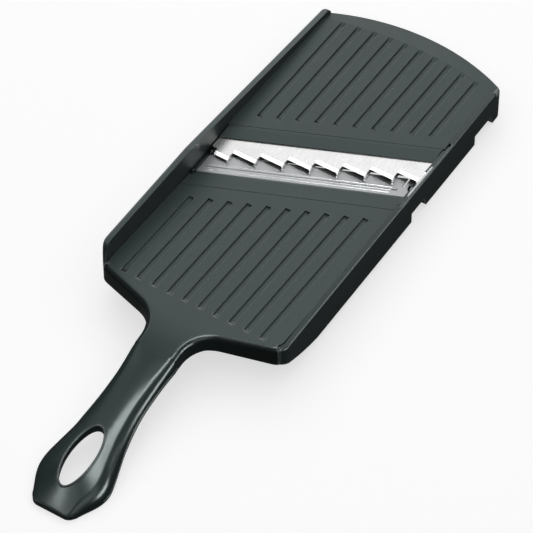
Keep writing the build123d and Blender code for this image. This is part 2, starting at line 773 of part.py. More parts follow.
# Slitter comb: a strip under the blade with an upright fin below each step
comb_drop = blade_drop + blade_thickness
spine = strip(comb_front_y, blade_rear_y + blade_tuck, blade_left_x, blade_right_x)
comb_planks = [plank(spine, outfeed_top, comb_drop, comb_thickness)]
for left_x, right_x, edge_y in tooth_places()[:-1]:
    fin_far_y = comb_front_y + comb_thickness / 4 + skew * right_x
    fin = rectangle(right_x - comb_thickness, right_x, edge_y + comb_fin_setback, fin_far_y)
    comb_planks.append(plank(fin, outfeed_top, comb_drop, comb_fin_height))
with BuildPart() as slitter_comb:
    add(comb_planks)
    # The fins stop short of the guide plate below them
    with BuildSketch(plate_plane.offset(plate_thickness + insert_clearance)):
        Polygon(*plate_corners(-bed_half, bed_half, 0, plate_length + insert_clearance))
    extrude(amount=-overrun, mode=Mode.SUBTRACT)
    with BuildSketch(Plane.XY.offset(-insert_depth)):
        with Locations(*stud_places()):
            Circle(stud_diameter / 2 + stud_clearance)
    extrude(amount=insert_depth, mode=Mode.SUBTRACT)

# Blade clamp: smooth strip behind the blade, held by studs formed over in the pockets of the carrier
clamp = strip(blade_rear_y, carrier_far_y, blade_left_x, blade_right_x)
clamp_plank = plank(clamp, outfeed_top, 0, blade_drop)
with BuildPart() as blade_clamp:
    add(clamp_plank)
    slope_width = (insert_far_y - blade_rear_y) * cos(radians(blade_skew))
    slope_tilt = degrees(atan(clamp_slope_drop / slope_width))
    with BuildSketch(slant_plane(outfeed_top, outfeed_rate, blade_rear_y, clamp_slope_drop, slope_tilt)):
        Polygon(*rectangle(-bed_width, bed_width, -slope_width, slope_width))
    extrude(amount=overrun, mode=Mode.SUBTRACT)
    head_z = -insert_depth + stud_pocket_depth - stud_head_height
    with BuildSketch(Plane.XY.offset(head_z)):
        with Locations(*stud_places()):
            Circle(stud_diameter / 2)
    extrude(until=Until.NEXT)
    with BuildSketch(Plane.XY.offset(head_z)):
        with Locations(*stud_places()):
            Circle(stud_head_diameter / 2)
    extrude(amount=stud_head_height)

# Set down: turned level on the handle's end and the far feet, with the middle of its base at the origin
pieces = {
    "frame": frame.part,
    "handle_deck": handle_deck.part,
    "insert_carrier": insert_carrier.part,
    "blade_clamp": blade_clamp.part,
    "stick_blade": stick_blade.part,
    "slitter_comb": slitter_comb.part,
    "guide_plate": guide_plate.part,
}
level = Location((0, 0, 0), (-degrees(atan(table_rate)), 0, 0))
boxes = [piece.moved(level).bounding_box() for piece in pieces.values()]
base_y = (min(box.min.Y for box in boxes) + max(box.max.Y for box in boxes)) / 2
base_z = table_top(0) * cos(atan(table_rate))
set_down = Location((0, -base_y, -base_z)) * level

os.makedirs("parts", exist_ok=True)
for name, piece in pieces.items():
    placed = piece.moved(set_down)
    placed.label = name
    export_step(placed, f"parts/{name}.step")
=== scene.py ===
"""Vegetable stick slicer: finishes, fine pieces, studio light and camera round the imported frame."""

import logging
from dataclasses import dataclass
from enum import Enum
from math import radians

import bmesh
import bpy
import numpy as np
from mathutils import Matrix, Vector


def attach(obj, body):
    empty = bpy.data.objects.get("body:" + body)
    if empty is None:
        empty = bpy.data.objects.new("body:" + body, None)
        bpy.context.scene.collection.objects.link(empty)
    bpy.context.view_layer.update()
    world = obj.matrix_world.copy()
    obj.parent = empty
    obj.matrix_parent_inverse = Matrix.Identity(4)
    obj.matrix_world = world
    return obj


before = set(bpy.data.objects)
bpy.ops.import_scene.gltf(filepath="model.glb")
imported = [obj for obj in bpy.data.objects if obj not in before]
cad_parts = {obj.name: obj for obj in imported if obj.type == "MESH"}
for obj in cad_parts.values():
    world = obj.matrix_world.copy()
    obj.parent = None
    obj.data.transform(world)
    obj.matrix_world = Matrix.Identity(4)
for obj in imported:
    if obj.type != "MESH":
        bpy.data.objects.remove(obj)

Colour = tuple[float, float, float]
Point = tuple[float, float, float]

LOG = logging.getLogger("slicer")
MM = 0.001
PHOTO_WIDTH = 533
SENSOR_WIDTH = 36.0
BLADE_SKEW = radians(23.9)
SMOOTH_TURN = radians(40.0)
NOISE_MIDDLE = 0.5
ELLIPSE = 2.0
BLACK: Colour = (0.0, 0.0, 0.0)
WHITE: Colour = (1.0, 1.0, 1.0)


def grey(level: float) -> Colour:
    """A neutral colour of the given level."""
    return (level, level, level)


def opaque(colour: Colour) -> tuple[float, float, float, float]:
    """The colour with full opacity, as sockets take it."""
    return (*colour, 1.0)


def unit(rows: np.ndarray) -> np.ndarray:
    """The directions of rows, each one long."""
    return rows / np.linalg.norm(rows, axis=-1, keepdims=True)


class Value:
    """A shader value: wraps an output socket, and expressions on it add Math nodes."""

    def __init__(self, sheet: "NodeSheet", socket: bpy.types.NodeSocket) -> None:
        """Keeps the socket and the sheet that it is on."""
        self.sheet = sheet
        self.socket = socket

    def _math(self, operation: str, first: "Value | float", second: "Value | float") -> "Value":
        """Adds one Math node.

        Args:
            operation: the Math node's operation.
            first: the upper input.
            second: the lower input.

        Returns:
            The node's result as a value.
        """
        node = self.sheet.add("ShaderNodeMath", {"operation": operation}, {0: first, 1: second})
        return Value(self.sheet, node.outputs[0])

    def __add__(self, other: "Value | float") -> "Value":
        """Sum."""
        return self._math("ADD", self, other)

    __radd__ = __add__

    def __mul__(self, other: "Value | float") -> "Value":
        """Product."""
        return self._math("MULTIPLY", self, other)

    __rmul__ = __mul__

    def __sub__(self, other: "Value | float") -> "Value":
        """Difference."""
        return self._math("SUBTRACT", self, other)

    def __rsub__(self, other: "Value | float") -> "Value":
        """Difference, with this value taken away."""
        return self._math("SUBTRACT", other, self)

    def clipped(self) -> "Value":
        """The value held between nought and one."""
        return self._math("MAXIMUM", self._math("MINIMUM", self, 1.0), 0.0)

    def above(self, limit: float, gain: float) -> "Value":
        """A mask that is nought up to the limit and rises past it, at the given gain, to one."""
        return ((self - limit) * gain).clipped()

    def below(self, limit: float, gain: float) -> "Value":
        """A mask that is nought down to the limit and rises under it, at the given gain, to one."""
        return ((limit - self) * gain).clipped()


class NodeSheet:
    """A node tree, with one method that adds any node."""

    def __init__(self, tree: bpy.types.NodeTree) -> None:
        """Clears the tree.

        Args:
            tree: the node tree of a material or of the world.
        """
        self.tree = tree
        tree.nodes.clear()

    def add(
        self,
        kind: str,
        settings: dict[str, object] | None = None,
        inputs: dict[str | int, object] | None = None,
    ) -> bpy.types.Node:
        """Adds a node.

        Args:
            kind: the node's type.
            settings: properties of the node, set first.
            inputs: values or links of its sockets, by name or number.

        Returns:
            The node.
        """
        node = self.tree.nodes.new(kind)
        for key, setting in (settings or {}).items():
            setattr(node, key, setting)
        for key, given in (inputs or {}).items():
            if isinstance(given, Value):
                self.tree.links.new(given.socket, node.inputs[key])
            elif isinstance(given, bpy.types.NodeSocket):
                self.tree.links.new(given, node.inputs[key])
            else:
                node.inputs[key].default_value = given
        return node

    def value(self, node: bpy.types.Node, output: str | int = 0) -> Value:
        """One output of a node as a value."""
        return Value(self, node.outputs[output])

    def parts(self, vector: bpy.types.NodeSocket) -> tuple[Value, Value, Value]:
        """The x, y and z of a vector as values."""
        split = self.add("ShaderNodeSeparateXYZ", None, {0: vector})
        return self.value(split, 0), self.value(split, 1), self.value(split, 2)

    def noise(
        self, place: bpy.types.NodeSocket, scale: float, detail: float, roughness: float = 0.5
    ) -> Value:
        """A noise pattern.

        Args:
            place: the coordinates that it is read at.
            scale: waves to a unit of the coordinates.
            detail: octaves.
            roughness: share that each octave adds.

        Returns:
            The pattern as a value about one half.
        """
        inputs = {"Vector": place, "Scale": scale, "Detail": detail, "Roughness": roughness}
        return self.value(self.add("ShaderNodeTexNoise", None, inputs), 0)

    def mixed_colour(self, share: Value, first: object, second: object) -> bpy.types.NodeSocket:
        """Mixes two colours, through sockets of the Mix node that go by number, as their names repeat.

        Args:
            share: the second colour's share.
            first: a colour with its opacity, or a socket that gives one.
            second: the same for the second colour.

        Returns:
            The socket of the mixed colour.
        """
        inputs = {0: share, 6: first, 7: second}
        return self.add("ShaderNodeMix", {"data_type": "RGBA"}, inputs).outputs[2]

    def mixed_direction(
        self, share: Value, first: bpy.types.NodeSocket, second: bpy.types.NodeSocket
    ) -> bpy.types.NodeSocket:
        """Mixes two directions in the same way.

        Args:
            share: the second direction's share.
            first: the socket of the first direction.
            second: the socket of the second direction.

        Returns:
            The socket of the mixed direction.
        """
        inputs = {0: share, 4: first, 5: second}
        return self.add("ShaderNodeMix", {"data_type": "VECTOR"}, inputs).outputs[1]


class Brushing(Enum):
    """Direction, as a turn about the upright axis, in which a steel face was brushed."""

    ALONG_BLADE = BLADE_SKEW
    ALONG_FEED = radians(90.0)


@dataclass(frozen=True)
class MouldedPlastic:
    """Dark moulded plastic: polished, with satin beds that the food slides on, painted highlights on the
    rims and the right edges of the grooves, and painted shade on the groove flanks and the guide wall's
    inner side.

    Lengths and places are in metres. A facing or lean is one part of a unit direction, and a gain says
    how fast a mask rises past its limit.
    """

    name: str
    colour: Colour
    pale_colour: Colour
    polished: float
    satin: float
    sheen_spread: float
    grain_waves: float
    grain_depth: float
    edge_radius: float
    rim_radius: float
    rim_half: float
    apron_y: float
    # Pale colour painted as a highlight on the rims and on the right edges of the grooves.
    highlight_paint_colour: Colour
    rim_highlight_gain: float
    gloss_tint: Colour
    gloss_level: float
    bed_half: float
    bed_start: float
    bed_blend: float
    wall_x: float
    wall_share: float
    # Share of black painted as shade on the groove flanks and the guide wall's inner side.
    painted_flank_shade: float
    ramp_y: float
    ramp_slack: float
    groove_highlight_gain: float
    neck_joint: float
    neck_joint_half: float
    cloud_waves: float = 35.0
    cloud_share: float = 0.55
    fleck_waves: float = 900.0
    sheen_waves: float = 60.0
    grain_roughness: float = 0.6
    grain_strength: float = 0.5
    edge_samples: int = 6
    rim_samples: int = 8
    level_facing: float = 0.95
    level_gain: float = 40.0
    side_facing: float = 0.8
    down_facing: float = -0.3
    facing_gain: float = 10.0
    groove_highlight_lean: float = -0.12
    ramp_gain: float = 1.0e3
    wall_gain: float = 1.0e4
    apron_gain: float = 500.0
    bed_square_gain: float = 1.0e6
    rim_square_gain: float = 1.0e5
    joint_square_gain: float = 1.0e8

    def bed_masks(self, sheet: NodeSheet, coordinates: bpy.types.Node) -> tuple[Value, Value]:
        """Finds the beds, and the groove flanks and the guide wall's inner side, where shade is painted.

        Args:
            sheet: the material's nodes.
            coordinates: its Texture Coordinate node.

        Returns:
            One on level faces between the walls beyond the neck, and less on the guide wall; and one,
            where shade is painted, on the faces between the walls that are neither level nor turned down,
            and on the inner side of the guide wall.
            Both are nought elsewhere. The ramps at the far ends of the outfeed grooves count as level.
        """
        sideways, _, upwards = sheet.parts(coordinates.outputs["Normal"])
        across, along, _ = sheet.parts(coordinates.outputs["Object"])
        ramps = along.above(self.ramp_y, self.ramp_gain) * self.ramp_slack
        level = (upwards + ramps).above(self.level_facing, self.level_gain)
        inside = (across * across).below(self.bed_half**2, self.bed_square_gain)
        beyond = along.above(self.bed_start, 1.0 / self.bed_blend)
        wall = across.below(self.wall_x, self.wall_gain)
        # Painted shade: the guide wall's inner side is counted with the groove flanks, to be painted dark.
        inner = wall * sideways.above(self.side_facing, self.facing_gain)
        bed = (level * inside + wall * self.wall_share).clipped() * beyond
        not_down = upwards.above(self.down_facing, self.facing_gain)
        # The second mask is where shade is painted: the groove flanks and the guide wall's inner side.
        return bed, ((1.0 - level) * inside * not_down + inner).clipped() * beyond

    def soft_edges(
        self, sheet: NodeSheet, place: bpy.types.NodeSocket
    ) -> tuple[bpy.types.NodeSocket, Value, Value]:
        """Rounds the edges: finely on the beds, more on the rims and handle, not at the neck's joint.

        Args:
            sheet: the material's nodes.
            place: the socket of its Object coordinates.

        Returns:
            The rounded direction of the surface; a mask of the rims' rounded edges, where a highlight is
            painted; and a mask of fine edges whose rounding leans to the left, as at the right of each
            groove, where a highlight is painted too.
        """
        fine = sheet.add("ShaderNodeBevel", {"samples": self.edge_samples}, {"Radius": self.edge_radius})
        broad = sheet.add("ShaderNodeBevel", {"samples": self.rim_samples}, {"Radius": self.rim_radius})
        plain = sheet.add("ShaderNodeNewGeometry").outputs["Normal"]
        across, along, _ = sheet.parts(place)
        beside = (across * across).above(self.rim_half**2, self.rim_square_gain)
        rim = (beside + along.below(self.apron_y, self.apron_gain)).clipped()
        offset = along - self.neck_joint
        joint = (offset * offset).below(self.neck_joint_half**2, self.joint_square_gain)
        rounded = sheet.mixed_direction(rim, fine.outputs[0], broad.outputs[0])
        facing = sheet.mixed_direction(joint, rounded, plain)
        alike = sheet.add("ShaderNodeVectorMath", {"operation": "DOT_PRODUCT"}, {0: facing, 1: plain})
        # Painted highlight: the rounded rims are painted pale where they round over.
        painted_rim_highlight = sheet.value(alike, "Value").below(1.0, self.rim_highlight_gain) * rim
        # Painted highlight: the right edges of the grooves, where the rounding leans left, are painted
        # pale.
        lean, _, _ = sheet.parts(fine.outputs[0])
        return facing, painted_rim_highlight, lean.below(self.groove_highlight_lean, self.groove_highlight_gain)

    def material(self) -> bpy.types.Material:
        """Builds the finish.

        Returns:
            The material: cloudy tone, uneven sheen, soft edges, painted highlights on the rims and the
                right edges
            of the grooves, painted shade on the groove flanks and the guide wall's inner side, and a grain
            of bumps on the beds.
        """
        material = bpy.data.materials.new(self.name)
        material.use_nodes = True
        sheet = NodeSheet(material.node_tree)
        coordinates = sheet.add("ShaderNodeTexCoord")
        place = coordinates.outputs["Object"]
        bed, painted_shade_mask = self.bed_masks(sheet, coordinates)
        facing, painted_rim_highlight, painted_groove_highlight = self.soft_edges(sheet, place)
        cloud = sheet.noise(place, self.cloud_waves, detail=3.0)
        fleck = sheet.noise(place, self.fleck_waves, detail=2.0)
        tone = (cloud * self.cloud_share + fleck * (1.0 - self.cloud_share)).clipped()
        cloudy = sheet.mixed_colour(tone, opaque(self.colour), opaque(self.pale_colour))
        # Painted highlights on the rims and the right edges of the grooves.
        painted_highlights = (painted_rim_highlight + painted_groove_highlight * bed).clipped()
        highlight_tinted = sheet.mixed_colour(painted_highlights, cloudy, opaque(self.highlight_paint_colour))
        # Painted shade: the groove flanks and the guide wall's inner side are darkened towards black.
        shade_painted = sheet.mixed_colour(painted_shade_mask * self.painted_flank_shade, highlight_tinted, opaque(BLACK))
        sheen = sheet.noise(place, self.sheen_waves, detail=4.0)
        gloss = self.polished + bed * (self.satin - self.polished)
        grain = sheet.noise(place, self.grain_waves, detail=2.0, roughness=self.grain_roughness) * bed
        bump = sheet.add(
            "ShaderNodeBump",
            None,
            {
                "Strength": self.grain_strength,
                "Distance": self.grain_depth,
                "Height": grain,
                "Normal": facing,
            },
        )
        shader = sheet.add(
            "ShaderNodeBsdfPrincipled",
            None,
            {
                "Base Color": shade_painted,
                "Roughness": gloss + (sheen - NOISE_MIDDLE) * self.sheen_spread,
                "Normal": bump.outputs[0],
                "Specular IOR Level": self.gloss_level,
                "Specular Tint": opaque(self.gloss_tint),
            },
        )
        sheet.add("ShaderNodeOutputMaterial", None, {"Surface": shader.outputs[0]})
        return material


@dataclass(frozen=True)
class BrushedSteel:
    """Stainless steel with fine brush lines, and ground bevels that are smoother and painted paler as a
    highlight.
    """

    name: str
    colour: Colour
    dark_colour: Colour
    roughness: float
    brushing: Brushing
    line_waves: float
    line_depth: float
    # Paler colour of the ground bevels, a painted highlight.
    ground_highlight_colour: Colour
    ground_roughness: float
    ground_lean: float = -0.15
    ground_gain: float = 12.0
    draw_out: float = 0.03
    line_roughness: float = 0.6
    line_share: float = 0.7
    line_spread: float = 0.16
    line_strength: float = 0.2
    cloud_waves: float = 90.0
    cloud_spread: float = 0.08

    def ground_mask(self, sheet: NodeSheet, coordinates: bpy.types.Node) -> Value:
        """Finds the ground bevels.

        Args:
            sheet: the material's nodes.
            coordinates: its Texture Coordinate node.

        Returns:
            One on faces that lean towards the handle as the bevels do, nought on level ones.
        """
        _, lean, _ = sheet.parts(coordinates.outputs["Normal"])
        return lean.below(self.ground_lean, self.ground_gain)

    def material(self) -> bpy.types.Material:
        """Builds the finish.

        Returns:
            The material: noise drawn out along the brushing sets tone, roughness and bump, and the bevels
                are
            ground smoother and painted paler as a highlight.
        """
        material = bpy.data.materials.new(self.name)
        material.use_nodes = True
        sheet = NodeSheet(material.node_tree)
        coordinates = sheet.add("ShaderNodeTexCoord")
        place = coordinates.outputs["Object"]
        ground = self.ground_mask(sheet, coordinates)
        turned = sheet.add(
            "ShaderNodeMapping",
            {"vector_type": "TEXTURE"},
            {"Vector": place, "Rotation": (0.0, 0.0, self.brushing.value)},
        )
        drawn = sheet.add(
            "ShaderNodeVectorMath",
            {"operation": "MULTIPLY"},
            {0: turned.outputs[0], 1: (self.draw_out, 1.0, 1.0)},
        )
        lines = sheet.noise(drawn.outputs[0], self.line_waves, detail=3.0, roughness=self.line_roughness)
        cloud = sheet.noise(place, self.cloud_waves, detail=3.0)
        tone = (lines * self.line_share + cloud * (1.0 - self.line_share)).clipped()
        brushed_tone = sheet.mixed_colour(tone, opaque(self.dark_colour), opaque(self.colour))
        # Painted highlight: the ground bevels are painted paler than the brushed steel, besides being
        # smoother.
        highlight_tinted = sheet.mixed_colour(ground, brushed_tone, opaque(self.ground_highlight_colour))
        lined = self.roughness + (lines - NOISE_MIDDLE) * self.line_spread
        brushed = lined + (cloud - NOISE_MIDDLE) * self.cloud_spread
        bump = sheet.add(
            "ShaderNodeBump",
            None,
            {"Strength": self.line_strength, "Distance": self.line_depth, "Height": lines},
        )
        shader = sheet.add(
            "ShaderNodeBsdfPrincipled",
            None,
            {
                "Base Color": highlight_tinted,
                "Metallic": 1.0,
                "Roughness": brushed + ground * (self.ground_roughness - brushed),
                "Normal": bump.outputs[0],
            },
        )
        sheet.add("ShaderNodeOutputMaterial", None, {"Surface": shader.outputs[0]})
        return material


HOUSING = MouldedPlastic(
    name="satin_housing",
    colour=(0.009, 0.019, 0.0184),
    pale_colour=(0.015, 0.03, 0.029),
    polished=0.24,
    satin=0.52,
    sheen_spread=0.06,
    grain_waves=1700.0,
    grain_depth=0.00012,
    edge_radius=0.0003,
    rim_radius=0.0016,
    rim_half=0.0509,
    apron_y=-0.046,
    # pale colour painted as a highlight on the rims and groove edges
    highlight_paint_colour=(0.18, 0.2, 0.197),
    rim_highlight_gain=10.0,
    gloss_tint=(0.9, 1.0, 0.99),
    gloss_level=0.5,
    bed_half=0.0497,
    bed_start=-0.085,
    bed_blend=0.03,
    wall_x=-0.0492,
    wall_share=0.7,
    # painted shade: share of black on the groove flanks and the guide wall's inner side
    painted_flank_shade=0.75,
    ramp_y=0.1,
    ramp_slack=0.08,
    # painted highlight: how fast the pale line on the right edges of the grooves rises
    groove_highlight_gain=10.0,
    neck_joint=-0.0803,
    neck_joint_half=0.0012,
)
BLADE_STEEL = BrushedSteel(
    name="ground_blade_steel",
    colour=(0.62, 0.62, 0.62),
    dark_colour=(0.51, 0.51, 0.51),
    roughness=0.26,
    brushing=Brushing.ALONG_FEED,
    line_waves=2400.0,
    line_depth=0.00002,
    # painted highlight: paler colour of the ground bevels
    ground_highlight_colour=(0.93, 0.93, 0.93),
    ground_roughness=0.12,
)
PLATE_STEEL = BrushedSteel(
    name="brushed_plate_steel",
    colour=(0.4, 0.41, 0.415),
    dark_colour=(0.3, 0.31, 0.315),
    roughness=0.34,
    brushing=Brushing.ALONG_BLADE,
    line_waves=2000.0,
    line_depth=0.00003,
    ground_highlight_colour=(0.6, 0.61, 0.615),
    ground_roughness=0.2,
)


def dress(node: str, material: bpy.types.Material) -> None:
    """Gives a carried-over solid its finish.

    Args:
        node: name of the solid.
        material: the finish that takes the place of its plain one.
    """
    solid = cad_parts[node]
    for place in solid.material_slots:
        place.material = material
    LOG.info("%s takes the finish %s", node, material.name)


class Slot(Enum):
    """A material slot of the record."""

    HOUSING = "housing"
    STEEL = "blade_steel"


def node_points(node: str) -> np.ndarray:
    """Reads a carried-over solid's mesh points, in metres.

    Args:
        node: name of the solid.

    Returns:
        One row for each point.
    """
    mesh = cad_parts[node].data
    points = np.empty(3 * len(mesh.vertices))
    mesh.vertices.foreach_get("co", points)
    return points.reshape(-1, 3)


def node_facings(node: str) -> np.ndarray:
    """Reads the outward directions at a carried-over solid's mesh points.

    Args:
        node: name of the solid.

    Returns:
        One unit row for each point.
    """
    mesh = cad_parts[node].data
    facings = np.empty(3 * len(mesh.vertices))
    mesh.vertex_normals.foreach_get("vector", facings)
    return facings.reshape(-1, 3)


def superellipse(half_width: float, half_height: float, power: float, count: int) -> np.ndarray:
    """A closed profile between an ellipse and a rectangle.

    The point at angle t is half_width times the cosine and half_height times the sine of t, each with its
    size raised to 2 / power and its sign kept.

    Args:
        half_width: half of the profile's width.
        half_height: half of its height.
        power: two for an ellipse, more for squarer corners.
        count: number of points.

    Returns:
        One row for each point.
    """
    turn = np.linspace(0.0, 2.0 * np.pi, count, endpoint=False)
    across = np.sign(np.cos(turn)) * np.abs(np.cos(turn)) ** (2.0 / power)
    up = np.sign(np.sin(turn)) * np.abs(np.sin(turn)) ** (2.0 / power)
    return np.stack([half_width * across, half_height * up], axis=-1)


def circle(radius: float, count: int) -> np.ndarray:
    """A round profile, one row for each of its points."""
    return superellipse(radius, radius, ELLIPSE, count)


@dataclass
class Sweep:
    """A closed profile carried along a path.

    The surface's point (i, j) is point i of the path, plus point j of the profile laid out along the
    side and lift directions of that place and scaled by its swell.
    """

    path: np.ndarray
    side: np.ndarray
    lift: np.ndarray
    profile: np.ndarray
    swell: np.ndarray
    closed: bool = False

    def points(self) -> np.ndarray:
        """Works out the surface's points.

        Returns:
            One row for each point, profile after profile along the path.
        """
        scaled = self.swell[:, None, None] * self.profile[None, :, :]
        across = scaled[:, :, :1] * self.side[:, None, :]
        up = scaled[:, :, 1:] * self.lift[:, None, :]
        return (self.path[:, None, :] + across + up).reshape(-1, 3)

    def faces(self) -> list[list[int]]:
        """Joins the points: quads along the path, and a cap at each end where the path is open.

        Returns:
            The point numbers of each face.
        """
        index = np.arange(len(self.path) * len(self.profile)).reshape(len(self.path), len(self.profile))
        first = index if self.closed else index[:-1]
        after = np.roll(index, -1, axis=0) if self.closed else index[1:]
        corners = [first, np.roll(first, -1, axis=1), np.roll(after, -1, axis=1), after]
        quads = np.stack(corners, axis=-1).reshape(-1, 4).tolist()
        caps = [] if self.closed else [index[0].tolist(), index[-1].tolist()]
        return quads + caps

    def build(self, name: str, body: str, slot: Slot, material: bpy.types.Material) -> None:
        """Makes the piece.

        Args:
            name: the piece's name.
            body: the body that it rides on.
            slot: not used.
            material: its finish.
        """
        mesh = bpy.data.meshes.new(name)
        mesh.from_pydata(self.points().tolist(), [], self.faces())
        shell = bmesh.new()
        shell.from_mesh(mesh)
        bmesh.ops.recalc_face_normals(shell, faces=shell.faces)
        shell.to_mesh(mesh)
        shell.free()
        mesh.polygons.foreach_set("use_smooth", np.ones(len(mesh.polygons), dtype=bool))
        mesh.set_sharp_from_angle(angle=SMOOTH_TURN)
        mesh.materials.append(material)
        piece = bpy.data.objects.new(name, mesh)
        bpy.context.scene.collection.objects.link(piece)
        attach(piece, body)
        LOG.info("%s rides on %s", name, body)


@dataclass
class Body:
    """The frame and the handle deck in dark plastic, with the beads moulded on the handle."""

    nodes: tuple[str, ...] = ("frame", "handle_deck")
    handle_node: str = "handle_deck"
    hole_half_width: float = 7.0 * MM
    hole_half_length: float = 16.4 * MM
    hole_y: float = -142.98 * MM
    hole_slack: float = 0.05
    hole_waves: int = 4
    hole_bead_radius: float = 0.55 * MM
    hole_bead_out: float = 0.25 * MM
    hole_bead_steps: int = 144
    hole_bead_sides: int = 14
    edge_start_y: float = -79.5 * MM
    edge_end_y: float = -155.0 * MM
    edge_facing: float = -0.8
    edge_degree: int = 7
    edge_rim_slack: float = 0.3 * MM
    edge_rim_rounds: int = 6
    edge_outer_slack: float = 0.2 * MM
    edge_outer_rounds: int = 4
    edge_bead_radius: float = 0.6 * MM
    edge_bead_rise: float = 1.7 * MM
    edge_bead_in: float = 0.2 * MM
    edge_bead_steps: int = 120
    edge_bead_sides: int = 12
    edge_taper_gain: float = 12.0
    edge_taper_least: float = 0.05

    def waves(self, turn: np.ndarray) -> np.ndarray:
        """The constant and the first cosines and sines of a turn, one column each."""
        order = turn[:, None] * np.arange(1, self.hole_waves + 1)
        return np.concatenate([np.ones((turn.size, 1)), np.cos(order), np.sin(order)], axis=1)

    def wave_fit(self, turn: np.ndarray, height: np.ndarray) -> np.ndarray:
        """The shares of the waves that come nearest to the heights."""
        return np.linalg.lstsq(self.waves(turn), height, rcond=None)[0]

    def hole_bead(self, material: bpy.types.Material) -> None:
        """Makes the bead round the hang hole.

        A circle is carried round an ellipse just outside the hole's edge. The height of the path is a
        sum of the first cosines and sines of the turn, fitted to the upper edge of the solid's hole.

        Args:
            material: the bead's finish.
        """
        points = node_points(self.handle_node)
        across = points[:, 0] / self.hole_half_width
        along = (points[:, 1] - self.hole_y) / self.hole_half_length
        wall = np.abs(across**2 + along**2 - 1.0) < self.hole_slack
        turn = np.arctan2(along[wall], across[wall])
        height = points[wall, 2]
        upper = height > self.waves(turn) @ self.wave_fit(turn, height)
        fit = self.wave_fit(turn[upper], height[upper])
        turn = np.linspace(0.0, 2.0 * np.pi, self.hole_bead_steps, endpoint=False)
        half_width = self.hole_half_width + self.hole_bead_out
        half_length = self.hole_half_length + self.hole_bead_out
        x, y = half_width * np.cos(turn), self.hole_y + half_length * np.sin(turn)
        outward = [half_length * np.cos(turn), half_width * np.sin(turn), np.zeros_like(turn)]
        Sweep(
            path=np.stack([x, y, self.waves(turn) @ fit], axis=-1),
            side=unit(np.stack(outward, axis=-1)),
            lift=np.tile([0.0, 0.0, 1.0], (turn.size, 1)),
            profile=circle(self.hole_bead_radius, self.hole_bead_sides),
            swell=np.ones_like(turn),
            closed=True,
        ).build("hang_hole_bead", "frame", Slot.HOUSING, material)

    def edge_fit(self, points: np.ndarray, values: np.ndarray) -> np.polynomial.Polynomial:
        """The polynomial of y that comes nearest to one value for each point."""
        return np.polynomial.Polynomial.fit(points[:, 1], values, self.edge_degree)

    def edge_bead(self, sign: float, name: str, material: bpy.types.Material) -> None:
        """Makes the bead along one lower edge of the handle.

        A circle is carried along a path at a fixed rise above the edge; it thins out towards the tip. The
        edge's half width and height are polynomials of y, fitted to the rim that the solid stands on.

        Args:
            sign: one for the right side, minus one for the left.
            name: the piece's name.
            material: the bead's finish.
        """
        points = node_points(self.handle_node)
        down = node_facings(self.handle_node)[:, 2] < self.edge_facing
        reach = (points[:, 1] < self.edge_start_y) & (points[:, 1] > self.edge_end_y)
        rim = points[down & reach & (points[:, 0] * sign > 0.0)]
        for _ in range(self.edge_rim_rounds):
            highest = self.edge_fit(rim, rim[:, 2])(rim[:, 1]) + self.edge_rim_slack
            rim = rim[rim[:, 2] < highest]
        height = self.edge_fit(rim, rim[:, 2])
        outer = rim
        for _ in range(self.edge_outer_rounds):
            least = self.edge_fit(outer, outer[:, 0] * sign)(outer[:, 1]) - self.edge_outer_slack
            outer = outer[outer[:, 0] * sign > least]
        half = self.edge_fit(outer, outer[:, 0] * sign)
        y = np.linspace(self.edge_start_y, self.edge_end_y, self.edge_bead_steps)
        x, z = sign * (half(y) - self.edge_bead_in), height(y) + self.edge_bead_rise
        path = np.stack([x, y, z], axis=-1)
        ahead = unit(np.gradient(path, axis=0))
        side = unit(np.cross(ahead, [0.0, 0.0, 1.0]))
        share = np.linspace(0.0, 1.0, y.size)
        Sweep(
            path=path,
            side=side,
            lift=np.cross(side, ahead),
            profile=circle(self.edge_bead_radius, self.edge_bead_sides),
            swell=np.clip((1.0 - share) * self.edge_taper_gain, self.edge_taper_least, 1.0),
        ).build(name, "frame", Slot.HOUSING, material)

    def build(self) -> None:
        """Dresses the mouldings of the body and adds the handle's beads."""
        material = HOUSING.material()
        for node in self.nodes:
            dress(node, material)
        self.hole_bead(material)
        self.edge_bead(1.0, "handle_edge_bead_right", material)
        self.edge_bead(-1.0, "handle_edge_bead_left", material)


@dataclass(frozen=True)
class Clip:
    """A small clip at an end of the insert: its two feet, and how far it arches above them."""

    name: str
    start: Point
    end: Point
    height: float


